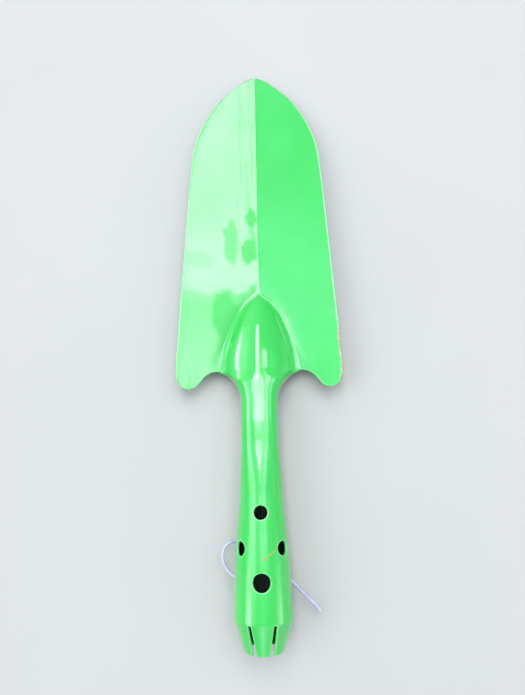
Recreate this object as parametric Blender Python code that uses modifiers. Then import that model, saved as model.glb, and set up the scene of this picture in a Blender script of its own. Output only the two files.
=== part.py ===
"""Hand trowel pressed and rolled from one steel sheet, with a loose nylon strand through its grip.

Millimetres in the constants, metres in the model. The trowel lies on its back: +Y is the tip,
+Z is the soil side of the blade, X runs across it.
"""
import math

import bmesh
import bpy
from mathutils import Vector

MM = 0.001

# Sheet and overall length; the drawing's zero is a little behind the middle of the finished length
SHEET = 1.0
MIDDLE_Y = 1.6
TIP_Y = 143.2
SHOULDER_Y = -20.7
NECK_Y = -42.0
BEND_Y = -127.5
END_Y = -140.0

# Blade: half width against distance along the trowel, and the V of its two wings
BLADE_HALF_WIDTH = (
    (-20.0, 39.45), (5.0, 38.1), (30.0, 36.7), (45.0, 35.85), (60.0, 34.95), (80.0, 33.7),
    (88.0, 33.15), (95.0, 32.4), (102.0, 30.9), (109.0, 28.7), (116.0, 25.7), (122.0, 22.3),
    (128.0, 18.1), (133.0, 13.6), (137.0, 9.4), (140.0, 5.9), (143.2, 0.0),
)
WING_ANGLE = ((70.0, 13.0), (143.2, 10.0))
VALLEY_Z = ((-30.0, 1.9), (70.0, 0.65), (98.0, 0.32), (118.0, 0.55), (143.2, 2.0))

# Tongue: the hollow rib that carries the socket into the blade
TONGUE_END_Y = 19.5
TONGUE_HALF_WIDTH = (
    (-20.7, 14.8), (-14.0, 14.3), (-7.0, 12.8), (0.0, 10.6), (4.0, 9.25), (8.0, 7.5),
    (11.0, 5.6), (13.0, 4.1), (14.5, 2.7), (15.7, 1.3), (16.8, 0.45), (18.0, 0.05), (19.5, 0.0),
)
TONGUE_ANGLE = (
    (-20.7, 65.3), (-14.0, 61.8), (-7.0, 59.2), (0.0, 56.0), (4.0, 51.0), (8.0, 45.5),
    (11.0, 41.0), (13.0, 38.0), (14.5, 36.0), (15.7, 33.0), (16.8, 24.0), (18.0, 8.0), (19.5, 0.0),
)
FILLET_RADIUS = (
    (-20.7, 4.4), (-10.0, 3.2), (0.0, 2.6), (10.0, 2.6), (14.0, 3.1), (17.0, 4.0), (26.0, 8.0),
)

# Strip that rolls up into the handle, from the shoulder to the neck
STRIP_HALF_WIDTH = (
    (-42.0, 24.32), (-38.0, 23.2), (-33.0, 20.9), (-29.0, 19.7), (-25.0, 19.9), (-22.6, 20.9),
    (-21.5, 22.5), (-20.7, 24.8),
)
ROLLED_SHARE = ((-33.0, 1.0), (-29.0, 0.95), (-25.2, 0.76), (-22.6, 0.4), (-21.4, 0.15), (-20.7, 0.0))
ROLL_RADIUS = (
    (-42.0, 7.9), (-34.7, 8.05), (-31.5, 8.8), (-28.6, 9.9), (-25.2, 11.8), (-22.6, 13.6),
    (-20.7, 14.8),
)
STRIP_TOP_Z = ((-45.0, 21.1), (-36.0, 20.75), (-30.0, 20.2), (-25.0, 19.4), (-20.7, 18.28))

# Tube of the handle
TUBE_RADIUS = (
    (-127.5, 12.17), (-115.0, 11.75), (-106.0, 11.4), (-97.0, 10.8), (-90.0, 10.2),
    (-80.0, 9.35), (-71.0, 8.85), (-63.0, 8.45), (-53.0, 7.95), (-42.0, 7.9),
)
AXIS_Z = ((-140.0, 12.6), (-127.5, 12.68), (-45.0, 13.2))
SEAM_GAP = 1.0
END_RADIUS = 7.9

# Holes: position along the tube, angle from the top, diameter
HOLES = (
    (-84.0, 0.0, 5.8),
    (-98.7, 53.0, 5.8),
    (-98.7, -53.0, 5.8),
    (-111.4, 0.0, 7.4),
    (-111.4, 106.0, 5.8),
    (-111.4, -106.0, 5.8),
)
FINGERS = 7
SLOT_ROOT_WIDTH = 1.3
SLOT_END_WIDTH = 1.9

# Mesh divisions
CORE_COLUMNS = 9
STRIP_COLUMNS = 12
WING_COLUMNS = 8
BLADE_ROWS = (
    142.3, 140.9, 138.9, 136.5, 134.0, 131.2, 127.6, 123.0, 117.5, 111.5, 105.0, 98.5, 92.0, 84.0,
    74.0, 64.0, 54.0, 44.0, 34.0, 27.0, 22.5, 19.6, 18.0, 16.8, 15.6, 14.4, 12.8, 10.6, 8.0, 5.0,
    1.5, -3.0, -8.0,
)
SIDE_EDGE = ((38.8, -8.0), (39.15, -14.0), (39.4, -19.2), (39.2, -23.2), (38.0, -26.4))
NOTCH_EDGE = (
    (22.6, -21.1), (25.7, -22.9), (28.0, -25.7), (30.2, -28.2), (32.3, -29.2), (34.2, -29.3),
    (36.3, -28.4), (38.0, -26.4),
)
STRIP_ROWS = (
    -21.5, -22.5, -23.7, -25.1, -26.7, -28.6, -30.8, -33.4, -37.0, -42.0, -49.0, -57.0, -65.0,
    -73.0, -81.0, -89.0, -97.0, -105.0, -113.0, -120.0, -125.5, -127.5, -129.5, -134.5, -140.0,
)
JOINT_ROWS = 4

# Nylon strand
STRAND_DIAMETER = 1.4
STRAND_ROUTE = (
    (24.7, -127.1, 5.2), (22.6, -124.7, 5.5), (19.7, -121.7, 6.0), (16.8, -118.8, 6.6),
    (14.3, -116.2, 7.4), (12.3, -113.9, 8.5), (9.6, -111.4, 9.7), (5.0, -109.8, 10.4),
    (0.0, -109.2, 10.6), (-5.0, -109.8, 10.4), (-9.0, -111.0, 9.9), (-11.4, -111.8, 9.4),
    (-13.6, -111.2, 9.0), (-16.1, -108.6, 8.7), (-17.6, -105.2, 8.4), (-17.7, -102.2, 8.0),
    (-16.8, -99.8, 7.4), (-14.8, -98.2, 6.6), (-11.8, -97.8, 5.3), (-8.6, -98.6, 3.4),
    (-6.0, -100.2, 1.8), (-4.0, -102.2, 1.0),
)


def clear():
    for item in list(bpy.data.objects):
        bpy.data.objects.remove(item, do_unlink=True)


def along(stations, y):
    """Monotone smooth curve through (y, value) stations, held flat past both ends."""
    points = sorted(stations)
    if y <= points[0][0]:
        return points[0][1]
    if y >= points[-1][0]:
        return points[-1][1]
    step = [b[0] - a[0] for a, b in zip(points, points[1:])]
    rise = [(b[1] - a[1]) / h for a, b, h in zip(points, points[1:], step)]
    slope = [rise[0]]
    for i in range(1, len(points) - 1):
        if rise[i - 1] * rise[i] <= 0.0:
            slope.append(0.0)
            continue
        near = 2.0 * step[i] + step[i - 1]
        far = step[i] + 2.0 * step[i - 1]
        slope.append((near + far) / (near / rise[i - 1] + far / rise[i]))
    slope.append(rise[-1])
    i = max(k for k in range(len(step)) if y >= points[k][0])
    t = (y - points[i][0]) / step[i]
    a, b = points[i][1], points[i + 1][1]
    bend = step[i] * (slope[i] * t * (1 - t) ** 2 - slope[i + 1] * t * t * (1 - t))
    return a * (1 + 2 * t) * (1 - t) ** 2 + b * t * t * (3 - 2 * t) + bend


def blade_section(y):
    """Arc radius, arc half width, fillet radius, wing slope and the heights that join them."""
    inner = along(TONGUE_HALF_WIDTH, y)
    angle = math.radians(along(TONGUE_ANGLE, y))
    wing = math.radians(along(WING_ANGLE, y))
    fillet = along(FILLET_RADIUS, y)
    radius = inner / math.sin(angle) if angle > 0.01 else 0.0
    centre_x = inner + fillet * math.sin(angle)
    foot = centre_x + fillet * math.sin(wing)
    centre_z = along(VALLEY_Z, y) + foot * math.tan(wing) + fillet * math.cos(wing)
    return inner, angle, radius, centre_x, centre_z, fillet, foot, wing


def blade_z(x, y):
    inner, angle, radius, centre_x, centre_z, fillet, foot, wing = blade_section(y)
    x = abs(x)
    if x >= foot:
        return along(VALLEY_Z, y) + x * math.tan(wing)
    if x >= inner or radius == 0.0:
        return centre_z - math.sqrt(max(fillet ** 2 - (x - centre_x) ** 2, 0.0))
    shoulder = centre_z - fillet * math.cos(angle)
    return shoulder - radius * math.cos(angle) + math.sqrt(radius ** 2 - x * x)


def tongue_x(y, part):
    """Place of a column across the tongue: its arc, then its fillet, then a little wing."""
    inner, angle, radius, centre_x, _, fillet, foot, wing = blade_section(y)
    core = CORE_COLUMNS / STRIP_COLUMNS
    if part <= core:
        return radius * math.sin(angle * part / core)
    turned = angle - (angle + wing) * (part - core) / (1.0 - core)
    spare = 0.3 * (part - core) / (1.0 - core)
    return centre_x - fillet * math.sin(turned) + spare


def column_x(y, k):
    """Distance from the centre line of column k of the blade."""
    edge = along(BLADE_HALF_WIDTH, y)
    plain = min(10.5, 0.3 * edge)
    if k <= STRIP_COLUMNS:
        part = k / STRIP_COLUMNS
        blend = min(max((y - 3.0) / 18.0, 0.0), 1.0)
        blend = blend * blend * (3.0 - 2.0 * blend)
        ribbed = tongue_x(min(y, TONGUE_END_Y - 0.5), part)
        return ribbed * (1.0 - blend) + plain * part * blend
    start = column_x(y, STRIP_COLUMNS)
    return start + (edge - start) * (k - STRIP_COLUMNS) / WING_COLUMNS


def blade_point(x, y):
    return Vector((x, y, blade_z(x, y)))


def strip_row(y):
    """Half of the rolled strip's section at y, walked outwards from its centre line."""
    _, angle, radius, _, _, fillet, _, wing = blade_section(SHOULDER_Y)
    share = along(ROLLED_SHARE, y)
    roll = along(ROLL_RADIUS, y) if y > NECK_Y else tube_radius(y)
    half = along(STRIP_HALF_WIDTH, y) if y > NECK_Y else math.pi * roll - 0.5 * SEAM_GAP
    top = along(STRIP_TOP_Z, y) if y > -45.0 else along(AXIS_Z, y) + roll
    steps = 20
    x, z = 0.0, top
    row = [Vector((x, y, z))]
    done = 0.0
    for k in range(1, STRIP_COLUMNS + 1):
        reach = half * strip_share(k, share)
        ds = (reach - done) / steps
        for i in range(steps):
            u = done + (i + 0.5) * ds
            flat = u / radius
            if flat > angle:
                flat = max(angle - (u - radius * angle) / fillet, -wing)
            lean = (1.0 - share) * flat + share * u / roll
            x += math.cos(lean) * ds
            z -= math.sin(lean) * ds
        done = reach
        row.append(Vector((x, y, z)))
    return row


def strip_share(k, rolled):
    """Share of the half strip inside column k: even round the tube, tighter in the fillet."""
    inner, angle, radius, _, _, fillet, _, wing = blade_section(SHOULDER_Y)
    core = radius * angle
    whole = along(STRIP_HALF_WIDTH, SHOULDER_Y)
    if k <= CORE_COLUMNS:
        ribbed = core * k / CORE_COLUMNS
    else:
        ribbed = core + (whole - core) * (k - CORE_COLUMNS) / (STRIP_COLUMNS - CORE_COLUMNS)
    return (1.0 - rolled) * ribbed / whole + rolled * k / STRIP_COLUMNS


def tube_radius(y):
    if y >= BEND_Y:
        return along(TUBE_RADIUS, y)
    t = (y - BEND_Y) / (END_Y - BEND_Y)
    return along(TUBE_RADIUS, BEND_Y) * (1.0 - t) + END_RADIUS * t


def joint_rows():
    """Rows between the plain blade and the shoulder, ending on the lobe and the notch."""
    wing = range(STRIP_COLUMNS, STRIP_COLUMNS + WING_COLUMNS + 1)
    top = [Vector((column_x(-8.0, k), -8.0, 0.0)) for k in wing]
    seam = strip_row(SHOULDER_Y)
    bottom = [Vector((seam[-1].x, SHOULDER_Y, 0.0))]
    bottom += [Vector((x, y, 0.0)) for x, y in NOTCH_EDGE]
    rows = []
    for r in range(1, JOINT_ROWS + 1):
        s = r / JOINT_ROWS
        y = -8.0 + (SHOULDER_Y + 8.0) * s
        row = [blade_point(column_x(y, k), y) for k in range(STRIP_COLUMNS + 1)]
        if r == JOINT_ROWS:
            row = seam[:]
        inside = Vector((row[-1].x, y, 0.0)) - top[0].lerp(bottom[0], s)
        side = Vector((*SIDE_EDGE[r], 0.0)) - top[-1].lerp(bottom[-1], s)
        for j in range(1, WING_COLUMNS + 1):
            g = j / WING_COLUMNS
            spot = top[j].lerp(bottom[j], s) + inside * (1.0 - g) + side * g
            row.append(blade_point(spot.x, spot.y))
        rows.append(row)
    return rows


def placed(x, y, z):
    """A drawing point in the model: metres, with the origin under the middle of the length."""
    return Vector((x, y - MIDDLE_Y, z)) * MM


def sheet_mesh(name):
    """The whole pressing as one sheet of no thickness, at the middle of the steel."""
    width = STRIP_COLUMNS + WING_COLUMNS
    rows = [[blade_point(column_x(y, k), y) for k in range(width + 1)] for y in BLADE_ROWS]
    rows += joint_rows()
    rows += [strip_row(y) for y in STRIP_ROWS]
    shape = bmesh.new()
    made = []
    for row in rows:
        line = {0: shape.verts.new(placed(*row[0]))}
        for k in range(1, len(row)):
            x, y, z = row[k]
            line[k] = shape.verts.new(placed(x, y, z))
            line[-k] = shape.verts.new(placed(-x, y, z))
        made.append(line)
    for upper, lower in zip(made, made[1:]):
        reach = min(max(upper), max(lower))
        for k in range(-reach, reach):
            shape.faces.new((upper[k], lower[k], lower[k + 1], upper[k + 1]))
    tip = shape.verts.new(placed(*blade_point(0.0, TIP_Y)))
    for k in range(-width, width):
        shape.faces.new((tip, made[0][k], made[0][k + 1]))
    mesh = bpy.data.meshes.new(name)
    shape.to_mesh(mesh)
    shape.free()
    return mesh


def material(name, colour, roughness, metallic=0.0, coat=0.0):
    made = bpy.data.materials.new(name)
    made.use_nodes = True
    shader = made.node_tree.nodes["Principled BSDF"]
    shader.inputs["Base Color"].default_value = (*colour, 1.0)
    shader.inputs["Roughness"].default_value = roughness
    shader.inputs["Metallic"].default_value = metallic
    shader.inputs["Coat Weight"].default_value = coat
    return made


def collection(name):
    made = bpy.data.collections.new(name)
    bpy.context.scene.collection.children.link(made)
    return made


def tube_place(y, angle, radius):
    turn = math.radians(angle)
    z = along(AXIS_Z, y) + radius * math.cos(turn)
    return Vector((radius * math.sin(turn), y, z))


def hole_cutter(shape, y, angle, diameter):
    """A round punch through one wall of the tube."""
    inner = tube_place(y, angle, 5.0)
    outer = tube_place(y, angle, 17.0)
    out = (outer - inner).normalized()
    side = Vector((0.0, 1.0, 0.0)).cross(out)
    rings = []
    for end in (inner, outer):
        ring = []
        for i in range(24):
            turn = 2.0 * math.pi * i / 24
            spot = end + 0.5 * diameter * (side * math.cos(turn) + Vector((0, 1, 0)) * math.sin(turn))
            ring.append(shape.verts.new(placed(*spot)))
        rings.append(ring)
    close_rings(shape, rings)


def slot_cutter(shape, angle):
    """A tapered slot between two fingers, cut from the bend to past the open end."""
    turn = math.radians(angle)
    side = Vector((math.cos(turn), 0.0, -math.sin(turn)))
    rings = []
    for y, width in ((BEND_Y - 0.2, SLOT_ROOT_WIDTH), (END_Y - 2.0, SLOT_END_WIDTH)):
        low = tube_place(y, angle, 3.5)
        high = tube_place(y, angle, 16.0)
        half = side * 0.5 * width
        corners = (low - half, low + half, high + half, high - half)
        rings.append([shape.verts.new(placed(*p)) for p in corners])
    close_rings(shape, rings)


def close_rings(shape, rings):
    for ring, after in zip(rings, rings[1:]):
        count = len(ring)
        for i in range(count):
            j = (i + 1) % count
            shape.faces.new((ring[i], ring[j], after[j], after[i]))
    shape.faces.new(list(reversed(rings[0])))
    shape.faces.new(rings[-1])


def cutter_object(home):
    shape = bmesh.new()
    for y, angle, diameter in HOLES:
        hole_cutter(shape, y, angle, diameter)
    for i in range(FINGERS):
        slot_cutter(shape, 180.0 + 360.0 * i / FINGERS)
    bmesh.ops.recalc_face_normals(shape, faces=shape.faces)
    mesh = bpy.data.meshes.new("punches")
    shape.to_mesh(mesh)
    shape.free()
    made = bpy.data.objects.new("punches", mesh)
    made.hide_render = True
    made.display_type = "WIRE"
    home.objects.link(made)
    return made


def trowel_body(home, cutter):
    made = bpy.data.objects.new("trowel_body", sheet_mesh("trowel_body"))
    home.objects.link(made)
    made.data.materials.append(material("green_enamel", (0.05, 0.72, 0.13), 0.22, 0.0, 0.6))
    thicken = made.modifiers.new("sheet", "SOLIDIFY")
    thicken.thickness = SHEET * MM
    thicken.offset = 0.0
    thicken.use_even_offset = True
    punch = made.modifiers.new("punch", "BOOLEAN")
    punch.operation = "DIFFERENCE"
    punch.solver = "EXACT"
    punch.object = cutter
    return made


def strand_line(per_span):
    """Smooth line through the route's points."""
    points = [Vector(p) for p in STRAND_ROUTE]
    points = [2 * points[0] - points[1]] + points + [2 * points[-1] - points[-2]]
    line = []
    for a, b, c, d in zip(points, points[1:], points[2:], points[3:]):
        for i in range(per_span):
            t = i / per_span
            line.append(0.5 * (2 * b + (c - a) * t + (2 * a - 5 * b + 4 * c - d) * t * t
                               + (3 * b - a - 3 * c + d) * t ** 3))
    line.append(points[-2])
    return line


def strand(home):
    line = strand_line(3)
    shape = bmesh.new()
    rings = []
    up = Vector((0.0, 0.0, 1.0))
    for i, spot in enumerate(line):
        ahead = (line[min(i + 1, len(line) - 1)] - line[max(i - 1, 0)]).normalized()
        side = up.cross(ahead).normalized()
        up = ahead.cross(side).normalized()
        ring = []
        for j in range(10):
            turn = 2.0 * math.pi * j / 10
            out = side * math.cos(turn) + up * math.sin(turn)
            ring.append(shape.verts.new(placed(*(spot + out * 0.5 * STRAND_DIAMETER))))
        rings.append(ring)
    close_rings(shape, rings)
    bmesh.ops.recalc_face_normals(shape, faces=shape.faces)
    mesh = bpy.data.meshes.new("nylon_strand")
    shape.to_mesh(mesh)
    shape.free()
    made = bpy.data.objects.new("nylon_strand", mesh)
    made.data.materials.append(material("white_nylon", (0.72, 0.73, 0.86), 0.35))
    home.objects.link(made)
    return made


def build():
    clear()
    parts = collection("hand_trowel")
    cutters = collection("hand_trowel_cutters")
    punches = cutter_object(cutters)
    trowel_body(parts, punches)
    strand(parts)


build()
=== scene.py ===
"""Hand trowel in green enamel on a pale floor: pressed steel body and a loose nylon strand.

Shape constants are millimetres and degrees in the drawing frame, with y towards the tip and z up;
placed() turns them into metres. Tables of (y, value) stations are read by along(). Materials and
lights use metres, linear colours and radiances.
"""
import math

import bmesh
import bpy
from mathutils import Matrix, Vector
from mathutils.kdtree import KDTree


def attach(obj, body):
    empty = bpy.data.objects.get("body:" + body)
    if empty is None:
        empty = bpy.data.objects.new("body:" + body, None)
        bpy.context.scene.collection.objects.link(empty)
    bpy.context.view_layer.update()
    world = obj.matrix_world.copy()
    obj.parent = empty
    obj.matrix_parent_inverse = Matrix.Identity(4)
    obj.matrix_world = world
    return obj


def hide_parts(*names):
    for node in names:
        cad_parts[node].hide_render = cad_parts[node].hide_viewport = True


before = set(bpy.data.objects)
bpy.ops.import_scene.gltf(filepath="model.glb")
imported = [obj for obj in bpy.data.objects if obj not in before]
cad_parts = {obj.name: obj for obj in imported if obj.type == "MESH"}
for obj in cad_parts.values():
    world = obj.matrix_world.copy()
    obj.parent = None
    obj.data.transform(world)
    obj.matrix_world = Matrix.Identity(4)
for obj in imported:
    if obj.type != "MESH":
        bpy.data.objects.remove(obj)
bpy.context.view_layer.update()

MM = 0.001
MIDDLE_Y = 1.6  # drawing y that lies at the frame's origin
SHEET = 1.0
EDGE_ROUND = 0.26
EDGE_FAR = 6.0
ROLLED_EDGE_DROP = 0.05
ROLLED_EDGE_WIDTH = 2.0
TIP_Y = 143.2
LAST_PLAIN_Y = -8.0
SHOULDER_Y = -20.7
NECK_Y = -42.0
BEND_Y = -127.5
END_Y = -140.0

BLADE_HALF_WIDTH = (
    (-20.0, 39.45), (5.0, 38.1), (30.0, 36.7), (45.0, 35.85), (60.0, 34.95), (80.0, 33.7),
    (88.0, 33.15), (95.0, 32.4), (102.0, 30.9), (109.0, 28.7), (116.0, 25.7), (122.0, 22.3),
    (128.0, 18.1), (133.0, 13.6), (137.0, 9.4), (140.0, 5.9), (143.2, 0.0),
)
WING_ANGLE = ((70.0, 13.0), (143.2, 10.0))
VALLEY_Z = ((-30.0, 1.9), (70.0, 0.65), (98.0, 0.32), (118.0, 0.55), (143.2, 2.0))
TONGUE_END_Y = 19.5
TONGUE_HALF_WIDTH = (
    (-20.7, 14.8), (-14.0, 14.3), (-7.0, 12.8), (0.0, 10.6), (4.0, 9.25), (8.0, 7.5),
    (11.0, 5.6), (13.0, 4.1), (14.5, 2.7), (15.7, 1.3), (16.8, 0.45), (18.0, 0.05), (19.5, 0.0),
)
TONGUE_ANGLE = (
    (-20.7, 65.3), (-14.0, 61.8), (-7.0, 59.2), (0.0, 56.0), (4.0, 51.0), (8.0, 45.5),
    (11.0, 41.0), (13.0, 38.0), (14.5, 36.0), (15.7, 33.0), (16.8, 24.0), (18.0, 8.0), (19.5, 0.0),
)
FILLET_RADIUS = (
    (-20.7, 4.4), (-10.0, 3.9), (0.0, 3.8), (10.0, 3.7), (14.0, 3.8), (17.0, 4.0), (26.0, 4.2),
    (45.0, 2.5), (90.0, 2.5), (143.2, 2.5),
)
GROOVE_DEPTH = ((-20.0, 0.0), (-15.0, 0.45), (14.0, 0.45), (19.0, 0.28), (24.0, 0.0))
GROOVE_REACH = 2.3
# How far the round top of the neck goes towards a superellipse of this power
FLAT_TOP_POWER = 3.0
FLAT_TOP = ((-77.0, 0.0), (-47.0, 1.1), (-28.0, 1.1), (-21.0, 0.0))
STRIP_HALF_WIDTH = (
    (-42.0, 24.32), (-38.0, 23.2), (-33.0, 20.9), (-29.0, 19.7), (-25.0, 19.9), (-22.6, 20.9),
    (-21.5, 22.5), (-20.7, 24.8),
)
ROLLED_SHARE = (
    (-33.0, 1.0), (-29.0, 0.95), (-25.2, 0.76), (-22.6, 0.4), (-21.4, 0.15), (-20.7, 0.0),
)
ROLL_RADIUS = (
    (-42.0, 7.9), (-34.7, 8.05), (-31.5, 8.8), (-28.6, 9.9), (-25.2, 11.8), (-22.6, 13.6),
    (-20.7, 14.8),
)
TUBE_START_Y = -45.0
STRIP_TOP_Z = ((-45.0, 21.1), (-36.0, 20.75), (-30.0, 20.2), (-25.0, 19.4), (-20.7, 18.28))
TUBE_RADIUS = (
    (-127.5, 12.17), (-115.0, 11.75), (-106.0, 11.4), (-97.0, 10.8), (-90.0, 10.2),
    (-80.0, 9.35), (-71.0, 8.85), (-63.0, 8.45), (-53.0, 7.95), (-42.0, 7.9),
)
AXIS_Z = ((-140.0, 12.6), (-127.5, 12.68), (-45.0, 13.2))
SEAM_GAP = 0.08
SLOT_START_Y = BEND_Y - 0.2
END_RADIUS = 7.9
BEND_EASE = 0.6
# Painted shade: the inside of the tube goes dark below this y, over this length, where it lies in
# shadow
PAINTED_SHADE_START_Y = -50.0
PAINTED_SHADE_FADE = 20.0
# Round holes: y, angle from the top and diameter
HOLES = (
    (-84.0, 0.0, 5.8), (-98.7, 53.0, 5.8), (-98.7, -53.0, 5.8), (-111.4, 0.0, 7.4),
    (-111.4, 106.0, 5.8), (-111.4, -106.0, 5.8),
)
FINGERS = 7
SLOT_ROOT_WIDTH = 1.3
SLOT_END_WIDTH = 1.9
# Plan (x, y) of the lobe's outer edge, its rounded end and the notch beside the socket
OUTLINE = (
    (38.8, -8.0), (39.15, -14.0), (39.4, -19.2), (39.2, -23.2), (38.0, -26.4), (36.3, -28.4),
    (34.2, -29.3), (32.3, -29.2), (30.2, -28.2), (28.0, -25.7), (25.7, -22.9), (22.6, -21.1),
)
OUTLINE_CORNER = 4
LOBE_EDGE = tuple((y, x) for x, y in OUTLINE[:OUTLINE_CORNER + 1])

# Linear colours
DEEP_GREEN = (0.030, 0.447, 0.066, 1.0)
BRIGHT_GREEN = (0.036, 0.483, 0.077, 1.0)
EDGE_HIGHLIGHT_GREEN = (0.20, 0.74, 0.26, 1.0)
SPECK_GREEN = (0.02, 0.20, 0.04, 1.0)
PAINTED_SHADE_GREEN = (0.006, 0.016, 0.009, 1.0)
SMEAR_BROWN = (0.46, 0.17, 0.04, 1.0)
FLECK_BROWN = (0.30, 0.16, 0.05, 1.0)
DARK_RUST = (0.28, 0.22, 0.13, 1.0)
PALE_RUST = (0.42, 0.36, 0.26, 1.0)
DIM_NYLON = (0.38, 0.38, 0.52, 1.0)
PALE_NYLON = (0.49, 0.49, 0.63, 1.0)
DIM_FLOOR = (0.43, 0.42, 0.40, 1.0)
PALE_FLOOR = (0.46, 0.45, 0.43, 1.0)

# Brown smears beside a round hole: both ends and half width in metres
SMEARS = (
    ((0.0008, -0.1037), (0.0070, -0.1004), 0.0007),
    ((0.0006, -0.1038), (0.0024, -0.1034), 0.0011),
)
# Dull spots of the blade's left half: place and half size in metres, and depth
DULL_SPOTS = (
    (-0.0028, 0.0590, 0.0030, 0.0065, 1.0),
    (-0.0132, 0.0450, 0.0042, 0.0130, 0.7),
    (-0.0042, 0.0405, 0.0040, 0.0085, 0.95),
    (-0.0022, 0.0500, 0.0016, 0.0150, 0.7),
    (-0.0165, 0.0062, 0.0076, 0.0140, 0.95),
    (-0.0300, 0.0345, 0.0095, 0.0050, 0.25),
)

# Strand: its diameter in millimetres, samples to a span of its line, and its route from its free
# end
STRAND_DIAMETER = 1.4
STRAND_STEPS = 8
STRAND_ROUTE = (
    (24.7, -127.1, 5.2), (22.6, -124.7, 5.5), (19.7, -121.7, 6.0), (16.8, -118.8, 6.6),
    (14.3, -116.2, 7.4), (12.3, -113.9, 8.5), (9.6, -111.4, 9.7), (5.0, -109.8, 10.4),
    (0.0, -109.2, 10.6), (-5.0, -109.8, 10.4), (-9.0, -111.0, 9.9), (-11.4, -111.8, 9.4),
    (-13.6, -111.2, 9.0), (-16.1, -108.6, 8.7), (-17.6, -105.2, 8.4), (-17.7, -102.2, 8.0),
    (-16.8, -99.8, 7.4), (-14.8, -98.2, 6.6), (-11.8, -97.8, 5.3), (-8.6, -98.6, 3.4),
    (-6.0, -100.2, 1.8), (-4.0, -102.2, 1.0),
)

# Camera: place, lens in millimetres, leans from straight down towards the tip and to the left,
# and roll
CAMERA_PLACE = (10.46, -61.7, 252.8)
CAMERA_LENS = 35.86
CAMERA_PITCH = 12.0
CAMERA_SIDE = 2.032
CAMERA_ROLL = -1.205

# The floor, in metres: a little below z 0
FLOOR_HALF_SIZE = 3.0
FLOOR_Z = -0.0001

LIGHT_DISTANCE = 2.5
# Softboxes: shape, tilts from straight above to the right and towards the tip, width and length
# in degrees, and radiance
SOFTBOXES = (
    ("key", "RECTANGLE", 17.5, 30.5, 15.0, 21.0, (5.5, 5.6, 5.9)),
    ("strip", "ELLIPSE", -5.0, 45.0, 10.0, 34.0, (8.0, 8.0, 8.0)),
    ("neck", "ELLIPSE", -4.0, 17.2, 20.0, 31.5, (6.2, 6.4, 6.7)),
)
# Soft glows of the surround: the same tilts, half width in degrees, and radiance
GLOWS = (
    (4.0, 6.0, 12.0, (2.2, 2.4, 2.7)),
    (3.0, 32.0, 6.0, (2.2, 2.3, 2.5)),
    (18.0, 9.0, 7.0, (3.6, 3.8, 4.1)),
    (42.0, 21.0, 9.0, (3.6, 4.4, 5.0)),
    (18.0, 20.0, 6.0, (1.3, 1.4, 1.6)),
    (-27.0, 18.0, 12.0, (0.95, 1.4, 1.85)),
    (-34.0, -2.0, 8.0, (2.2, 2.3, 2.4)),
    (-46.0, 11.0, 9.0, (5.0, 5.2, 5.6)),
    (-55.0, -18.0, 8.0, (7.0, 7.0, 6.9)),
    (-76.0, 43.0, 9.0, (9.0, 9.1, 9.5)),
    (-48.0, 42.0, 9.0, (1.2, 1.3, 1.5)),
    (70.0, -20.0, 9.5, (2.7, 2.7, 2.7)),
    (0.0, -48.0, 12.0, (1.9, 2.0, 2.2)),
    (50.0, -45.0, 18.0, (0.9, 0.8, 0.7)),
    (-41.0, 62.0, 28.0, (0.5, 0.55, 0.6)),
)
# Even light between the glows, and the plain colour that the camera sees behind the floor
SURROUND = (0.32, 0.36, 0.40)
ROOM = (0.66, 0.69, 0.71, 1.0)

# Rows of the mesh, in stretches of (end, spacing)
FIRST_ROW_Y = 142.9
BLADE_ROWS = ((136.0, 0.5), (100.0, 1.0), (26.0, 1.6), (LAST_PLAIN_Y, 0.7))
STRIP_ROWS = ((-24.0, 0.25), (-34.0, 0.5), (-126.4, 1.0), (SLOT_START_Y, 0.26))
FINGER_ROWS = ((-128.4, 0.23), (END_Y, 0.9))
# Half columns of the rolled strip: front finger, then slot and finger three times
FRONT_COLUMNS = 6
SLOT_COLUMNS = 2
FINGER_COLUMNS = 12
STRIP_COLUMNS = FRONT_COLUMNS + 3 * (SLOT_COLUMNS + FINGER_COLUMNS)
# Half columns across the tongue's arc and across a wing, and rows of the shoulder
CORE_COLUMNS = 34
WING_COLUMNS = 28
JOINT_ROWS = 18
# Samples to a span of the outline, and steps from column to column of the rolled strip
OUTLINE_STEPS = 12
SECTION_STEPS = 6
# Rings of faces round a hole, gathered towards its edge, and the room that they take
HOLE_RINGS = 5
HOLE_GATHER = 1.25
HOLE_MARGIN = 1.7
# Stretches evened out after meshing: from y, to y, half width and passes; and where they fade
RELAXED = ((-34.0, -9.0, 30.0, 16), (7.0, 26.0, 12.0, 12))
RELAX_FADE_Y = 4.0
RELAX_FADE_X = 3.0
# Angles of the rim's rounded corners
RIM_ANGLES = (60.0, 30.0, 0.0)
# Where the tongue's columns give way to plain ones: y from and to
TONGUE_BLEND = (3.0, 21.0)
# The plain ones: their greatest width, and their share of the blade's half width
PLAIN_STRIP_WIDTH = 10.5
PLAIN_STRIP_SHARE = 0.3
# How far past the tongue's fillet its last column lies
FILLET_OVERRUN = 0.3
# Share of even spacing in a wing's columns, which the rest gathers at both ends
WING_EVENNESS = 0.6


def placed(x, y, z):
    return Vector((x, y - MIDDLE_Y, z)) * MM


def eased(t):
    return t * t * (3.0 - 2.0 * t)


# ---------------------------------------------------------------- curves and sections

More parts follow.
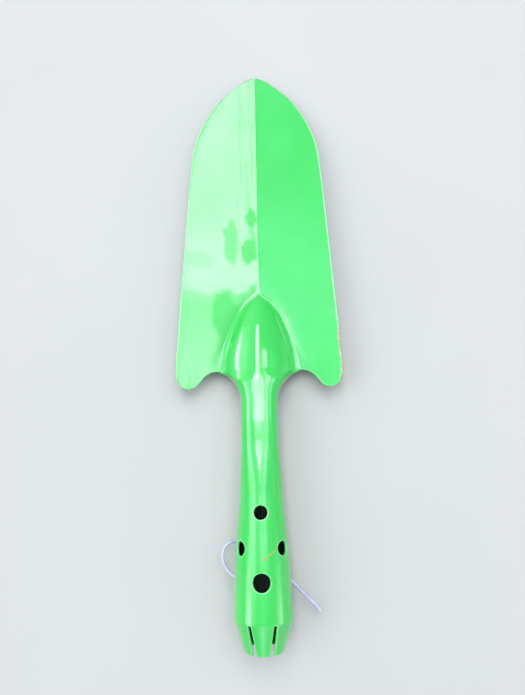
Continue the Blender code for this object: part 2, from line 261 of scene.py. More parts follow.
def along(stations, y):
    """Monotone smooth curve through (y, value) stations, held flat past both ends."""
    points = sorted(stations)
    if y <= points[0][0]:
        return points[0][1]
    if y >= points[-1][0]:
        return points[-1][1]
    step = [b[0] - a[0] for a, b in zip(points, points[1:])]
    rise = [(b[1] - a[1]) / h for a, b, h in zip(points, points[1:], step)]
    slope = [rise[0]]
    for i in range(1, len(points) - 1):
        if rise[i - 1] * rise[i] <= 0.0:
            slope.append(0.0)
            continue
        near = 2.0 * step[i] + step[i - 1]
        far = step[i] + 2.0 * step[i - 1]
        slope.append((near + far) / (near / rise[i - 1] + far / rise[i]))
    slope.append(rise[-1])
    i = max(k for k in range(len(step)) if y >= points[k][0])
    t = (y - points[i][0]) / step[i]
    a, b = points[i][1], points[i + 1][1]
    bend = step[i] * (slope[i] * t * (1 - t) ** 2 - slope[i + 1] * t * t * (1 - t))
    return a * (1 + 2 * t) * (1 - t) ** 2 + b * t * t * (3 - 2 * t) + bend


def smooth_line(points, per_span):
    """Catmull-Rom line through the points, per_span samples to a span."""
    ends = [2 * points[0] - points[1]] + list(points) + [2 * points[-1] - points[-2]]
    line = []
    for a, b, c, d in zip(ends, ends[1:], ends[2:], ends[3:]):
        for i in range(per_span):
            t = i / per_span
            line.append(0.5 * (2 * b + (c - a) * t + (2 * a - 5 * b + 4 * c - d) * t * t
                               + (3 * b - a - 3 * c + d) * t ** 3))
    line.append(points[-1].copy())
    return line


def resample(line, count):
    """count + 1 points spaced evenly along a line."""
    lengths = [0.0]
    for a, b in zip(line, line[1:]):
        lengths.append(lengths[-1] + (b - a).length)
    out = []
    i = 0
    for k in range(count + 1):
        want = lengths[-1] * k / count
        while i < len(line) - 2 and lengths[i + 1] < want:
            i += 1
        span = lengths[i + 1] - lengths[i]
        out.append(line[i].lerp(line[i + 1], (want - lengths[i]) / span if span else 0.0))
    return out


def blade_section(y):
    """Arc radius, arc half width, fillet radius, wing slope and the heights that join them."""
    inner = along(TONGUE_HALF_WIDTH, y)
    angle = math.radians(along(TONGUE_ANGLE, y))
    wing = math.radians(along(WING_ANGLE, y))
    fillet = along(FILLET_RADIUS, y)
    radius = inner / math.sin(angle) if angle > 0.01 else 0.0
    centre_x = inner + fillet * math.sin(angle)
    foot = centre_x + fillet * math.sin(wing)
    valley = along(VALLEY_Z, y)
    centre_z = valley + foot * math.tan(wing) + fillet * math.cos(wing)
    return inner, angle, radius, centre_x, centre_z, fillet, foot, wing, valley


def section_z(section, x):
    inner, angle, radius, centre_x, centre_z, fillet, foot, wing, valley = section
    if x >= foot:
        return valley + x * math.tan(wing)
    if x >= inner or radius == 0.0:
        return centre_z - math.sqrt(max(fillet ** 2 - (x - centre_x) ** 2, 0.0))
    shoulder = centre_z - fillet * math.cos(angle)
    return shoulder - radius * math.cos(angle) + math.sqrt(radius ** 2 - x * x)


def groove(section, x, y):
    """Depth of the shallow pressed groove that runs beside the rib."""
    inner, foot = section[0], section[6]
    deep = along(GROOVE_DEPTH, y)
    if x >= foot:
        return deep * math.exp((foot - x) / GROOVE_REACH)
    if x <= inner:
        return 0.0
    return deep * ((x - inner) / (foot - inner)) ** 2


def tongue_x(section, part):
    """Place of a half column across the tongue and its fillet, by its part of their columns."""
    _, angle, radius, centre_x, _, fillet, _, wing, _ = section
    core = CORE_COLUMNS / STRIP_COLUMNS
    if part <= core:
        return radius * math.sin(angle * part / core)
    turned = angle - (angle + wing) * (part - core) / (1.0 - core)
    return centre_x - fillet * math.sin(turned) + FILLET_OVERRUN * (part - core) / (1.0 - core)


def row_x(y):
    """Places of all the blade's half columns at y."""
    edge = along(BLADE_HALF_WIDTH, y)
    plain = min(PLAIN_STRIP_WIDTH, PLAIN_STRIP_SHARE * edge)
    section = blade_section(min(y, TONGUE_END_Y - 0.5))
    low, high = TONGUE_BLEND
    blend = eased(min(max((y - low) / (high - low), 0.0), 1.0))
    row = []
    for k in range(STRIP_COLUMNS + 1):
        part = k / STRIP_COLUMNS
        ribbed = tongue_x(section, part) if blend < 1.0 else 0.0
        row.append(ribbed * (1.0 - blend) + plain * part * blend)
    start = row[-1]
    for k in range(1, WING_COLUMNS + 1):
        t = k / WING_COLUMNS
        row.append(start + (edge - start) * (WING_EVENNESS * t + (1.0 - WING_EVENNESS) * eased(t)))
    return row


def rolled_edge(x, y):
    """Drop of the wing's rim, where pressing has turned the edge down."""
    slope = 0.0
    edge = along(LOBE_EDGE, y)
    if y > LAST_PLAIN_Y:
        slope = along(BLADE_HALF_WIDTH, y + 0.5) - along(BLADE_HALF_WIDTH, y - 0.5)
        edge = along(BLADE_HALF_WIDTH, y)
    inside = (edge - x) / math.sqrt(1.0 + slope * slope)
    return ROLLED_EDGE_DROP * max(0.0, 1.0 - max(inside, 0.0) / ROLLED_EDGE_WIDTH) ** 2


def blade_point(x, y, section):
    return Vector((x, y, section_z(section, x) - rolled_edge(x, y) - groove(section, x, y)))


def blade_row(y):
    section = blade_section(y)
    return [blade_point(x, y, section) for x in row_x(y)]


def tube_radius(y):
    """Middle radius of the rolled tube, with the sharp bend at the fingers slightly eased."""
    body = along(TUBE_RADIUS, max(y, BEND_Y))
    fall = (along(TUBE_RADIUS, BEND_Y) - END_RADIUS) / (BEND_Y - END_Y)
    over = BEND_Y - y
    if over >= BEND_EASE:
        return body - fall * over
    if over <= -BEND_EASE:
        return body
    return body - fall * (over + BEND_EASE) ** 2 / (4.0 * BEND_EASE)


def slot_half_angle(y):
    t = min(max((BEND_Y - y) / (BEND_Y - END_Y), 0.0), 1.0)
    width = SLOT_ROOT_WIDTH + (SLOT_END_WIDTH - SLOT_ROOT_WIDTH) * t
    return math.degrees(0.5 * width / tube_radius(y))


def tube_angles(y):
    """Angles of the half columns round the tube, in degrees from the top."""
    pitch = 360.0 / FINGERS
    half = slot_half_angle(y) if y < BEND_Y else slot_half_angle(BEND_Y)
    if y < SLOT_START_Y:
        last = 180.0 - half
    else:
        last = 180.0 - math.degrees(0.5 * SEAM_GAP / tube_radius(y))
    marks = [0.0, 0.5 * pitch - half, 0.5 * pitch + half, 1.5 * pitch - half, 1.5 * pitch + half,
             2.5 * pitch - half, 2.5 * pitch + half, last]
    counts = [FRONT_COLUMNS] + [SLOT_COLUMNS, FINGER_COLUMNS] * 3
    angles = [0.0]
    for a, b, count in zip(marks, marks[1:], counts):
        angles += [a + (b - a) * i / count for i in range(1, count + 1)]
    return angles


def tube_point(y, angle):
    turn = math.radians(angle)
    radius = tube_radius(y)
    return Vector((radius * math.sin(turn), y, along(AXIS_Z, y) + radius * math.cos(turn)))


SHOULDER_SECTION = blade_section(SHOULDER_Y)
NECK_SHARES = [a / 180.0 for a in tube_angles(NECK_Y)]


def strip_row(y):
    """Half of the rolled strip's section at y, walked outwards from its centre line."""
    if y <= TUBE_START_Y:
        return flatten([tube_point(y, a) for a in tube_angles(y)], y)
    _, angle, radius, _, _, fillet, _, wing, _ = SHOULDER_SECTION
    share = along(ROLLED_SHARE, y)
    roll = along(ROLL_RADIUS, y) if y > NECK_Y else tube_radius(y)
    half = along(STRIP_HALF_WIDTH, y) if y > NECK_Y else math.pi * roll - 0.5 * SEAM_GAP
    top = along(STRIP_TOP_Z, y)
    x, z, done = 0.0, top, 0.0
    row = [Vector((x, y, z))]
    for k in range(1, STRIP_COLUMNS + 1):
        reach = half * strip_share(k, share)
        ds = (reach - done) / SECTION_STEPS
        for i in range(SECTION_STEPS):
            u = done + (i + 0.5) * ds
            flat = u / radius
            if flat > angle:
                flat = max(angle - (u - radius * angle) / fillet, -wing)
            lean = (1.0 - share) * flat + share * u / roll
            x += math.cos(lean) * ds
            z -= math.sin(lean) * ds
        done = reach
        row.append(Vector((x, y, z)))
    return flatten(row, y)


def flatten(row, y):
    """Eases the round top of the neck towards a flatter one, with the same outline."""
    weight = along(FLAT_TOP, y)
    if weight == 0.0:
        return row
    widest = max(row, key=lambda point: point.x)
    middle_z, half = widest.z, widest.x
    rise = row[0].z - middle_z
    for point in row:
        if point.z <= middle_z or point is widest:
            break
        t = min(point.x / half, 1.0)
        lift = (1.0 - t ** FLAT_TOP_POWER) ** (1.0 / FLAT_TOP_POWER) - math.sqrt(1.0 - t * t)
        point.z += weight * rise * lift
    return row


def strip_share(k, rolled):
    """How far out the k-th half column lies, from the ribbed spacing to the tube's spacing."""
    _, angle, radius = SHOULDER_SECTION[:3]
    core = radius * angle
    whole = along(STRIP_HALF_WIDTH, SHOULDER_Y)
    if k <= CORE_COLUMNS:
        ribbed = core * k / CORE_COLUMNS
    else:
        ribbed = core + (whole - core) * (k - CORE_COLUMNS) / (STRIP_COLUMNS - CORE_COLUMNS)
    even = NECK_SHARES[k] / NECK_SHARES[-1]
    return (1.0 - rolled) * ribbed / whole + rolled * even


# ---------------------------------------------------------------- the pressing's middle surface

def joint_rows():
    """Rows from the plain blade down to the shoulder, the lobes and the notches."""
    seam = strip_row(SHOULDER_Y)
    points = [Vector((x, y, 0.0)) for x, y in OUTLINE] + [Vector((seam[-1].x, SHOULDER_Y, 0.0))]
    line = smooth_line(points, OUTLINE_STEPS)
    cut = OUTLINE_CORNER * OUTLINE_STEPS
    side = resample(line[:cut + 1], JOINT_ROWS)
    bottom = resample(list(reversed(line[cut:])), WING_COLUMNS)
    xs = row_x(LAST_PLAIN_Y)[STRIP_COLUMNS:]
    top = [Vector((x, LAST_PLAIN_Y, 0.0)) for x in xs]
    top[-1] = side[0].copy()
    rows = []
    for r in range(1, JOINT_ROWS + 1):
        s = r / JOINT_ROWS
        y = LAST_PLAIN_Y + (SHOULDER_Y - LAST_PLAIN_Y) * s
        row = blade_row(y)[:STRIP_COLUMNS + 1]
        if r == JOINT_ROWS:
            row = seam[:]
        inside = Vector((row[-1].x, y, 0.0)) - top[0].lerp(bottom[0], s)
        outside = side[r] - top[-1].lerp(bottom[-1], s)
        for j in range(1, WING_COLUMNS + 1):
            g = j / WING_COLUMNS
            at = top[j].lerp(bottom[j], s) + inside * (1.0 - g) + outside * g
            row.append(blade_point(at.x, at.y, blade_section(at.y)))
        rows.append(row)
    return rows


def spread(start, stretches):
    """Stations from start, which is left out, through stretches of (end, spacing)."""
    stations = []
    for end, spacing in stretches:
        count = max(1, round(abs(end - start) / spacing))
        stations += [start + (end - start) * i / count for i in range(1, count + 1)]
        start = end
    return stations


def middle_surface():
    """The whole pressing as an open sheet at the middle of the steel."""
    blade_ys = [FIRST_ROW_Y] + spread(FIRST_ROW_Y, BLADE_ROWS)
    strip_ys = spread(SHOULDER_Y, STRIP_ROWS)
    finger_ys = spread(SLOT_START_Y, FINGER_ROWS)
    rows = [blade_row(y) for y in blade_ys] + joint_rows()
    rows += [strip_row(y) for y in strip_ys + finger_ys]
    strip_start = len(blade_ys) + JOINT_ROWS
    finger_start = strip_start + len(strip_ys)
    shape = bmesh.new()
    made = []
    for row in rows:
        line = {0: shape.verts.new(placed(*row[0]))}
        for k in range(1, len(row)):
            x, y, z = row[k]
            line[k] = shape.verts.new(placed(x, y, z))
            line[-k] = shape.verts.new(placed(-x, y, z))
        made.append(line)
    slots = slot_columns()
    patches = [hole_block(hole, strip_ys) for hole in HOLES]
    for r, (upper, lower) in enumerate(zip(made, made[1:])):
        reach = min(max(upper), max(lower))
        strip_r = r + 1 - strip_start
        for k in range(-reach, reach):
            if r + 1 >= finger_start and (k if k >= 0 else -k - 1) in slots:
                continue
            if any(a < strip_r <= b and c <= k < d for a, b, c, d in patches):
                continue
            shape.faces.new((upper[k], lower[k], lower[k + 1], upper[k + 1]))
    tip = shape.verts.new(placed(*blade_point(0.0, TIP_Y, blade_section(TIP_Y))))
    width = STRIP_COLUMNS + WING_COLUMNS
    for k in range(-width, width):
        shape.faces.new((tip, made[0][k], made[0][k + 1]))
    for hole, block in zip(HOLES, patches):
        fill_round_hole(shape, made, strip_start, strip_ys, hole, block)
    loose = [v for v in shape.verts if not v.link_faces]
    bmesh.ops.delete(shape, geom=loose, context="VERTS")
    for stretch in RELAXED:
        relax(shape, *stretch)
    shape.normal_update()
    return shape


def relax(shape, start, end, reach, passes):
    """Evens out the surface between two stations, away from its cut edges."""
    picked = []
    for v in shape.verts:
        y = v.co.y / MM + MIDDLE_Y
        if v.is_boundary or not start < y < end or abs(v.co.x) > reach * MM:
            continue
        fade = min((y - start) / RELAX_FADE_Y, (end - y) / RELAX_FADE_Y,
                   (reach - abs(v.co.x) / MM) / RELAX_FADE_X, 1.0)
        picked.append((v, 0.5 * fade, [e.other_vert(v) for e in v.link_edges]))
    for _ in range(passes):
        moved = [v.co.lerp(sum((o.co for o in near), Vector()) / len(near), weight)
                 for v, weight, near in picked]
        for (v, _, _), place in zip(picked, moved):
            v.co = place


def slot_columns():
    """Half columns that the slots between the fingers take away."""
    out = set()
    k = FRONT_COLUMNS
    for _ in range(3):
        out |= set(range(k, k + SLOT_COLUMNS))
        k += SLOT_COLUMNS + FINGER_COLUMNS
    return out


def hole_block(hole, ys):
    """Rows and columns of the grid that a hole's ring of faces replaces."""
    y, angle, diameter = hole
    room = 0.5 * diameter + HOLE_MARGIN
    first = max(i for i, v in enumerate(ys) if v >= y + room)
    last = min(i for i, v in enumerate(ys) if v <= y - room)
    angles = tube_angles(y)
    full = [-a for a in reversed(angles[1:])] + angles
    reach = math.degrees(room / tube_radius(y))
    low = max(i for i, a in enumerate(full) if a <= angle - reach) - STRIP_COLUMNS
    high = min(i for i, a in enumerate(full) if a >= angle + reach) - STRIP_COLUMNS
    return first, last, low, high


def fill_round_hole(shape, made, strip_start, ys, hole, block):
    """Rings of faces from the grid's block inwards to the round edge."""
    y0, angle0, diameter = hole
    first, last, low, high = block
    loop = [(first, k) for k in range(low, high)] + [(r, high) for r in range(first, last)]
    loop += [(last, k) for k in range(high, low, -1)] + [(r, low) for r in range(last, first, -1)]
    rim = []
    for r, k in loop:
        angles = tube_angles(ys[r])
        angle = angles[k] if k >= 0 else -angles[-k]
        across = math.radians(angle - angle0) * tube_radius(ys[r])
        rim.append(Vector((across, ys[r] - y0)))
    outer = [made[strip_start + r][k] for r, k in loop]
    for j in range(HOLE_RINGS - 1, -1, -1):
        t = (j / HOLE_RINGS) ** HOLE_GATHER
        ring = []
        for corner in rim:
            edge = corner.normalized() * 0.5 * diameter
            at = edge.lerp(corner, t)
            y = y0 + at.y
            angle = angle0 + math.degrees(at.x / tube_radius(y))
            ring.append(shape.verts.new(placed(*tube_point(y, angle))))
        count = len(ring)
        for i in range(count):
            n = (i + 1) % count
            shape.faces.new((outer[i], ring[i], ring[n], outer[n]))
        outer = ring


# ---------------------------------------------------------------- thickness and rounded edges

def thicken(middle):
    """Closed sheet from its middle surface, with every cut edge rounded over."""
    h, r = 0.5 * SHEET * MM, EDGE_ROUND * MM
    middle.verts.index_update()
    outward = boundary_directions(middle)
    solid = bmesh.new()
    edge_layer = solid.verts.layers.float.new("rim")
    painted_shade_layer = solid.verts.layers.float.new("painted_shade")
    top, bottom, ring = [], [], {}
    for v in middle.verts:
        inset = outward[v.index] * r if v.index in outward else Vector()
        top.append(solid.verts.new(v.co - inset + v.normal * h))
        bottom.append(solid.verts.new(v.co - inset - v.normal * h))
        # Painted shade on the underside of the sheet in the handle, where the inside of the tube
        # lies in shadow
        y = v.co.y / MM + MIDDLE_Y
        bottom[-1][painted_shade_layer] = min(max((PAINTED_SHADE_START_Y - y) / PAINTED_SHADE_FADE, 0.0), 1.0)
        if v.index in outward:
            ring[v.index] = rim_profile(solid, v, outward[v.index], h, r, top[-1], bottom[-1])
            # The lower half of a cut edge that faces down carries the same painted shade
            if v.normal.z < -0.8:  # cuts that face down, such as the seam
                for point in ring[v.index][len(ring[v.index]) // 2:]:
                    point[painted_shade_layer] = bottom[-1][painted_shade_layer]
    for f in middle.faces:
        solid.faces.new([top[v.index] for v in f.verts])
        solid.faces.new([bottom[v.index] for v in reversed(f.verts)])
    for e in middle.edges:
        if len(e.link_loops) != 1:
            continue
        loop = e.link_loops[0]
        a, b = loop.vert.index, loop.link_loop_next.vert.index
        for i in range(len(ring[a]) - 1):
            solid.faces.new((ring[a][i], ring[a][i + 1], ring[b][i + 1], ring[b][i]))
    for points in ring.values():
        for v in points:
            v[edge_layer] = 1.0
    solid.normal_update()
    return solid


def rim_profile(solid, v, out, h, r, top, bottom):
    """Vertices round a cut edge from the top face to the bottom one, with rounded corners."""
    points = [top]
    for side in (1.0, -1.0):
        centre = v.co - out * r + v.normal * (side * (h - r))
        for a in (RIM_ANGLES if side > 0.0 else RIM_ANGLES[::-1]):
            turn = math.radians(a)
            at = centre + v.normal * (side * r * math.sin(turn)) + out * (r * math.cos(turn))
            points.append(solid.verts.new(at))
    points.append(bottom)
    return points


def boundary_directions(middle):
    """Unit direction out of the sheet, along its surface, at each vertex of a cut edge."""
    total = {}
    for e in middle.edges:
        if len(e.link_faces) != 1:
            continue
        face = e.link_faces[0]
        along_edge = (e.verts[1].co - e.verts[0].co).normalized()
        out = along_edge.cross(face.normal)
        if out.dot(e.verts[0].co - face.calc_center_median()) < 0.0:
            out = -out
        for v in e.verts:
            total[v.index] = total.get(v.index, Vector()) + out
    middle.verts.ensure_lookup_table()
    for i, out in total.items():
        normal = middle.verts[i].normal
        total[i] = (out - normal * out.dot(normal)).normalized()
    return total


def mark_distances(mesh):
    """Stores each vertex's distance from the nearest cut edge, in millimetres."""
    rim = mesh.attributes["rim"].data
    cut = [v for v in mesh.vertices if rim[v.index].value > 0.5]
    tree = KDTree(len(cut))
    for v in cut:
        tree.insert(v.co, v.index)
    tree.balance()
    near = mesh.attributes.new("edge_mm", "FLOAT", "POINT")
    for v in mesh.vertices:
        near.data[v.index].value = min(tree.find(v.co)[2] / MM, EDGE_FAR)


def trowel_body():
    middle = middle_surface()
    solid = thicken(middle)
    middle.free()
    mesh = bpy.data.meshes.new("trowel_body_fine")
    solid.to_mesh(mesh)
    solid.free()
    mark_distances(mesh)
    mesh.shade_smooth()
    made = bpy.data.objects.new("trowel_body_fine", mesh)
    bpy.context.scene.collection.objects.link(made)
    mesh.materials.append(enamel())
    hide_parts("trowel_body")
    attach(made, "root")


def nylon_strand():
    line = smooth_line([Vector(point) for point in STRAND_ROUTE], STRAND_STEPS)
    curve = bpy.data.curves.new("nylon_strand_fine", "CURVE")
    curve.dimensions = "3D"
    curve.bevel_depth = 0.5 * STRAND_DIAMETER * MM
    curve.bevel_resolution = 6
    curve.use_fill_caps = True
    spline = curve.splines.new("POLY")
    spline.points.add(len(line) - 1)
    for point, place in zip(spline.points, line):
        point.co = (*placed(*place), 1.0)
    spline.use_smooth = True
    made = bpy.data.objects.new("nylon_strand_fine", curve)
    bpy.context.scene.collection.objects.link(made)
    curve.materials.append(nylon())
    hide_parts("nylon_strand")
    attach(made, "root")


# ---------------------------------------------------------------- materials

# Colour sockets of the Mix node, which has several of each name
MIX_A, MIX_B, MIX_RESULT = 6, 7, 2


class Nodes:
    """Small helper that adds and links shader nodes."""

    def __init__(self, name):
        self.material = bpy.data.materials.new(name)
        self.material.use_nodes = True
        self.tree = self.material.node_tree
        self.shader = self.tree.nodes["Principled BSDF"]

    def add(self, kind, inputs=None, **settings):
        node = self.tree.nodes.new(kind)
        for key, value in settings.items():
            setattr(node, key, value)
        for key, value in (inputs or {}).items():
            self.put(node.inputs[key], value)
        return node

    def put(self, socket, value):
        if isinstance(value, bpy.types.NodeSocket):
            self.tree.links.new(value, socket)
        else:
            socket.default_value = value

    def math(self, operation, a, b=0.0):
        node = self.add("ShaderNodeMath", operation=operation)
        for socket, value in zip(node.inputs, (a, b)):
            self.put(socket, value)
        return node.outputs[0]

    def remap(self, value, low, high, start=0.0, end=1.0):
        node = self.add("ShaderNodeMapRange", {"Value": value, "From Min": low, "From Max": high,
                                               "To Min": start, "To Max": end})
        node.interpolation_type = "SMOOTHSTEP"
        return node.outputs["Result"]

    def noise(self, vector, scale, detail=2.0, rough=0.5):
        node = self.add("ShaderNodeTexNoise", {"Vector": vector, "Scale": scale, "Detail": detail,
                                               "Roughness": rough})
        return node.outputs["Fac"]

    def streaks(self, vector, across, lengthwise, detail, rough):
        """Noise drawn out along the trowel, from its scales across and lengthwise."""
        node = self.add("ShaderNodeMapping", {"Vector": vector,
                                              "Scale": (across, lengthwise, lengthwise)})
        return self.noise(node.outputs[0], 1.0, detail, rough)

    def mix(self, factor, a, b):
        node = self.add("ShaderNodeMix", data_type="RGBA")
        self.put(node.inputs["Factor"], factor)
        self.put(node.inputs[MIX_A], a)
        self.put(node.inputs[MIX_B], b)
        return node.outputs[MIX_RESULT]


def near_segment(n, where, a, b, reach):
    """1 on the line from a to b in the plan of the part, falling to 0 at reach, above z 15 mm."""
    ax, ay = a
    dx, dy = b[0] - ax, b[1] - ay
    size = math.hypot(dx, dy)
    split = n.add("ShaderNodeSeparateXYZ", {"Vector": where}).outputs
    px = n.math("SUBTRACT", split["X"], ax)
    py = n.math("SUBTRACT", split["Y"], ay)
    t = n.math("ADD", n.math("MULTIPLY", px, dx / size ** 2),
               n.math("MULTIPLY", py, dy / size ** 2))
    t = n.math("MINIMUM", n.math("MAXIMUM", t, 0.0), 1.0)
    qx = n.math("SUBTRACT", px, n.math("MULTIPLY", t, dx))
    qy = n.math("SUBTRACT", py, n.math("MULTIPLY", t, dy))
    away = n.math("SQRT", n.math("ADD", n.math("MULTIPLY", qx, qx), n.math("MULTIPLY", qy, qy)))
    band = n.remap(away, reach, 0.25 * reach)
    return n.math("MULTIPLY", band, n.remap(split["Z"], 0.0145, 0.016))


def spot(n, where, x, y, across, length):
    """Soft oval patch in the plan of the part, 1 in the middle and 0 outside."""
    moved = n.add("ShaderNodeMapping", {"Vector": where,
                                        "Scale": (1.0 / across, 1.0 / length, 0.0),
                                        "Location": (-x / across, -y / length, 0.0)})
    size = n.add("ShaderNodeVectorMath", {"Vector": moved.outputs[0]}, operation="LENGTH")
    return n.remap(size.outputs["Value"], 1.12, 0.68)


def enamel():
    """Glossy green enamel over pressed steel, worn and rusted along part of the cut edge."""
    n = Nodes("green_enamel_fine")
    coordinates = n.add("ShaderNodeTexCoord").outputs
    where = coordinates["Object"]
    split = n.add("ShaderNodeSeparateXYZ", {"Vector": where}).outputs
    facing = n.add("ShaderNodeSeparateXYZ", {"Vector": coordinates["Normal"]}).outputs["Z"]
    edge = n.add("ShaderNodeAttribute", attribute_name="edge_mm").outputs["Fac"]
    painted_shade = n.add("ShaderNodeAttribute", attribute_name="painted_shade").outputs["Fac"]

    # Colour: a painted highlight along the cut edges, with specks, smears and flecks, worn off
    # part of the rim, and painted shade inside the tube
    cloudy = n.noise(where, 28.0, 3.0, 0.55)
    fine = n.noise(where, 900.0, 2.0, 0.6)
    green = n.mix(n.remap(cloudy, 0.3, 0.7), DEEP_GREEN, BRIGHT_GREEN)
    # Painted highlight: a paler green within half a millimetre of the cut edges, where they catch
    # the light
    edge_highlight = n.math("MULTIPLY", n.remap(edge, 0.55, 0.05), 0.4)
    green = n.mix(edge_highlight, green, EDGE_HIGHLIGHT_GREEN)

    specks = n.remap(n.noise(where, 2600.0, 0.0), 0.80, 0.84)
    green = n.mix(n.math("MULTIPLY", specks, 0.5), green, SPECK_GREEN)

    smeared = n.math("MAXIMUM", *[near_segment(n, where, *row) for row in SMEARS])
    ragged = n.remap(n.noise(where, 1400.0, 3.0, 0.7), 0.42, 0.62)
    smear = n.math("MULTIPLY", smeared, n.math("MULTIPLY", ragged, 0.9))
    green = n.mix(smear, green, SMEAR_BROWN)

    flecks = n.remap(n.noise(where, 620.0, 1.0, 0.5), 0.735, 0.765)
    flecks = n.math("MULTIPLY", flecks, n.remap(split["Y"], -0.055, -0.085, 0.0, 0.75))
    green = n.mix(flecks, green, FLECK_BROWN)

    worn = n.math("MULTIPLY", n.remap(split["Y"], 0.0, -0.006),
                  n.remap(split["Y"], -0.029, -0.026))
    worn = n.math("MULTIPLY", worn, n.remap(split["X"], 0.034, 0.036))
    limit = n.math("MULTIPLY", worn, n.remap(fine, 0.3, 0.7, 0.45, 1.0))
    rust = n.math("MULTIPLY", n.remap(n.math("SUBTRACT", edge, limit), 0.06, -0.06), worn)
    patchy = n.remap(n.noise(where, 420.0, 3.0, 0.6), 0.30, 0.42)
    rust = n.math("MULTIPLY", rust, patchy)
    green = n.mix(rust, green, n.mix(n.remap(fine, 0.35, 0.65), DARK_RUST, PALE_RUST))
    # Painted shade: the inside of the tube is darkened to stand for its shadow
    green = n.mix(painted_shade, green, PAINTED_SHADE_GREEN)
    n.put(n.shader.inputs["Base Color"], green)

    # Gloss: dull spots with frayed edges, streaks on the handle and pleats along the blade
    dull = n.math("MAXIMUM", n.math("MAXIMUM", smear, rust), painted_shade)
    wander = n.add("ShaderNodeTexNoise", {"Vector": where, "Scale": 190.0, "Detail": 7.0,
                                          "Roughness": 0.68})
    shifted = n.add("ShaderNodeVectorMath", {0: wander.outputs["Color"], 1: (0.5, 0.5, 0.5)},
                    operation="SUBTRACT")
    shifted = n.add("ShaderNodeVectorMath", {0: shifted.outputs[0], "Scale": 0.009},
                    operation="SCALE")
    frayed = n.add("ShaderNodeVectorMath", {0: where, 1: shifted.outputs[0]}, operation="ADD")
    handled = 0.0
    for x, y, across, length, depth in DULL_SPOTS:
        patch = n.math("MULTIPLY", spot(n, frayed.outputs[0], x, y, across, length), depth)
        handled = n.math("MAXIMUM", handled, patch)
    handled = n.math("MULTIPLY", handled, n.remap(facing, 0.1, 0.5))
    drawn = n.streaks(where, 520.0, 26.0, 2.0, 0.5)
    beside = n.math("ABSOLUTE", n.math("ADD", split["X"], 0.0035))
    pleats = n.math("MULTIPLY", n.remap(beside, 0.012, 0.003), n.remap(split["Y"], 0.03, 0.06))
    handle = n.remap(split["Y"], -0.008, -0.03)
    streaky = n.remap(n.streaks(where, 620.0, 42.0, 4.0, 0.6), 0.42, 0.68, 0.0, 0.55)
    hazy = n.math("ADD", n.remap(n.noise(where, 42.0, 3.0, 0.5), 0.40, 0.72, 0.0, 0.30),
                  n.math("MULTIPLY", streaky, handle))
    folds = n.math("MULTIPLY", pleats, n.remap(drawn, 0.42, 0.62, 0.0, 0.45))
    hazy = n.math("MAXIMUM", n.math("ADD", hazy, folds), handled)
    rough = n.math("ADD", n.remap(cloudy, 0.3, 0.75, 0.11, 0.16), n.math("MULTIPLY", dull, 0.4))
    n.put(n.shader.inputs["Roughness"], n.math("ADD", rough, n.math("MULTIPLY", handled, 0.32)))
    n.shader.inputs["Specular IOR Level"].default_value = 0.5
    n.put(n.shader.inputs["Coat Weight"], n.math("SUBTRACT", 1.0, n.math("MAXIMUM", dull, hazy)))
    n.shader.inputs["Coat Roughness"].default_value = 0.05

    # Relief
    waves = n.noise(where, 55.0, 2.0, 0.45)
    peel = n.noise(where, 750.0, 2.0, 0.5)
    brush = n.streaks(where, 480.0, 55.0, 3.0, 0.55)
    relief = n.math("ADD", n.math("MULTIPLY", waves, 2.4), n.math("MULTIPLY", peel, 0.09))
    relief = n.math("ADD", relief, n.math("MULTIPLY", n.math("MULTIPLY", brush, handle), 0.7))
    relief = n.math("ADD", relief, n.math("MULTIPLY", n.math("MULTIPLY", pleats, drawn), 0.5))
    relief = n.math("SUBTRACT", relief, n.math("MULTIPLY", n.math("MAXIMUM", smear, rust), 0.06))
    bump = n.add("ShaderNodeBump", {"Height": relief, "Strength": 0.7, "Distance": 0.0002})
    n.put(n.shader.inputs["Normal"], bump.outputs["Normal"])
    return n.material


def nylon():
    """Slightly translucent white nylon with faint draw lines."""
    n = Nodes("white_nylon_fine")
    where = n.add("ShaderNodeTexCoord").outputs["Object"]
    tone = n.noise(where, 160.0, 2.0, 0.5)
    n.put(n.shader.inputs["Base Color"],
          n.mix(n.remap(tone, 0.3, 0.7), DIM_NYLON, PALE_NYLON))
    n.put(n.shader.inputs["Roughness"], n.remap(tone, 0.3, 0.7, 0.28, 0.42))
    n.shader.inputs["Subsurface Weight"].default_value = 0.25
    n.shader.inputs["Subsurface Radius"].default_value = (0.0008, 0.0008, 0.001)
    n.shader.inputs["Subsurface Scale"].default_value = 1.0
    lines = n.noise(where, 2200.0, 1.0, 0.5)
    bump = n.add("ShaderNodeBump", {"Height": lines, "Strength": 0.3, "Distance": 0.00005})
    n.put(n.shader.inputs["Normal"], bump.outputs["Normal"])
    return n.material


def floor_material():
    n = Nodes("pale_floor")
    where = n.add("ShaderNodeTexCoord").outputs["Object"]
    tone = n.noise(where, 9.0, 3.0, 0.5)
    n.put(n.shader.inputs["Base Color"], n.mix(tone, DIM_FLOOR, PALE_FLOOR))
    n.shader.inputs["Roughness"].default_value = 0.9
    n.shader.inputs["Specular IOR Level"].default_value = 0.1
    return n.material


# ---------------------------------------------------------------- camera, floor and light

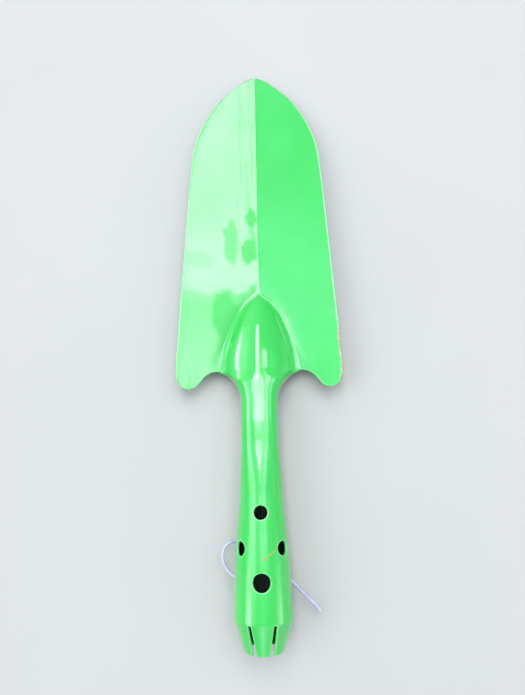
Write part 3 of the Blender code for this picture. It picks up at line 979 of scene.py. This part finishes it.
def camera():
    """Close above the trowel, leaning a little towards its tip."""
    data = bpy.data.cameras.new("camera")
    data.sensor_fit = "HORIZONTAL"
    data.sensor_width = 36.0
    data.lens = CAMERA_LENS
    data.clip_start = 0.01
    made = bpy.data.objects.new("camera", data)
    bpy.context.scene.collection.objects.link(made)
    pitch, side = math.radians(CAMERA_PITCH), math.radians(CAMERA_SIDE)
    roll = math.radians(CAMERA_ROLL)
    look = Vector((-math.sin(side) * math.cos(pitch), math.sin(pitch),
                   -math.cos(pitch) * math.cos(side)))
    look.normalize()
    right = look.cross(Vector((0.0, 1.0, 0.0))).normalized()
    up = right.cross(look)
    turned = right * math.cos(roll) + up * math.sin(roll)
    raised = up * math.cos(roll) - right * math.sin(roll)
    place = Matrix((turned, raised, -look)).transposed().to_4x4()
    place.translation = placed(*CAMERA_PLACE)
    made.matrix_world = place
    bpy.context.scene.camera = made


def floor():
    mesh = bpy.data.meshes.new("floor")
    signs = ((-1.0, -1.0), (1.0, -1.0), (1.0, 1.0), (-1.0, 1.0))
    corners = [(FLOOR_HALF_SIZE * x, FLOOR_HALF_SIZE * y, FLOOR_Z) for x, y in signs]
    mesh.from_pydata(corners, [], [(0, 1, 2, 3)])
    made = bpy.data.objects.new("floor", mesh)
    bpy.context.scene.collection.objects.link(made)
    mesh.materials.append(floor_material())


def towards(tilt_x, tilt_y):
    """Direction at these tilts from straight up, to the right and towards the tip."""
    lean, turn = math.radians(math.hypot(tilt_x, tilt_y)), math.atan2(tilt_y, tilt_x)
    level = math.sin(lean)
    return Vector((level * math.cos(turn), level * math.sin(turn), math.cos(lean)))


def softbox(name, shape, tilt_x, tilt_y, width, length, radiance):
    """Area light that faces the trowel from LIGHT_DISTANCE metres away."""
    back = towards(tilt_x, tilt_y)
    up = towards(tilt_x, tilt_y + 0.5) - back
    up = (up - back * up.dot(back)).normalized()
    data = bpy.data.lights.new(name, "AREA")
    data.shape = shape
    data.size = LIGHT_DISTANCE * math.radians(width)
    data.size_y = LIGHT_DISTANCE * math.radians(length)
    data.color = [value / max(radiance) for value in radiance]
    area = data.size * data.size_y * (0.25 * math.pi if shape == "ELLIPSE" else 1.0)
    data.energy = max(radiance) * area * math.pi
    made = bpy.data.objects.new(name, data)
    made.visible_camera = False
    bpy.context.scene.collection.objects.link(made)
    basis = Matrix((up.cross(back).normalized(), up, back)).transposed()
    made.matrix_world = Matrix.Translation(back * LIGHT_DISTANCE) @ basis.to_4x4()


def surround():
    """A dim cool room with soft glows, brightest ahead and to the left."""
    world = bpy.data.worlds.new("world")
    bpy.context.scene.world = world
    world.use_nodes = True
    tree = world.node_tree
    where = tree.nodes.new("ShaderNodeTexCoord").outputs["Generated"]

    def add(kind, operation, a, b):
        node = tree.nodes.new(kind)
        node.operation = operation
        for socket, value in zip(node.inputs, (a, b)):
            if isinstance(value, bpy.types.NodeSocket):
                tree.links.new(value, socket)
            else:
                socket.default_value = value
        return node

    total = SURROUND
    for tilt_x, tilt_y, half_width, radiance in GLOWS:
        towards_it = towards(tilt_x, tilt_y)
        facing = add("ShaderNodeVectorMath", "DOT_PRODUCT", where, towards_it).outputs["Value"]
        power = math.log(0.5) / math.log(math.cos(math.radians(half_width)))
        glow = add("ShaderNodeMath", "POWER", facing, power).outputs[0]
        ahead = add("ShaderNodeMath", "GREATER_THAN", facing, 0.0).outputs[0]
        glow = add("ShaderNodeMath", "MULTIPLY", glow, ahead).outputs[0]
        coloured = add("ShaderNodeVectorMath", "SCALE", radiance, (0.0, 0.0, 0.0))
        tree.links.new(glow, coloured.inputs["Scale"])
        total = add("ShaderNodeVectorMath", "ADD", total, coloured.outputs[0]).outputs[0]

    # The glows only light the trowel: seen straight on, the room is plain
    seen = tree.nodes.new("ShaderNodeLightPath").outputs["Is Camera Ray"]
    room = tree.nodes.new("ShaderNodeMix")
    room.data_type = "RGBA"
    tree.links.new(seen, room.inputs[0])
    tree.links.new(total, room.inputs[MIX_A])
    room.inputs[MIX_B].default_value = ROOM
    tree.links.new(room.outputs[MIX_RESULT], tree.nodes["Background"].inputs["Color"])


def lighting():
    for row in SOFTBOXES:
        softbox(*row)
    surround()


bpy.context.scene.view_settings.view_transform = "Standard"
camera()
nylon_strand()
trowel_body()
floor()
lighting()
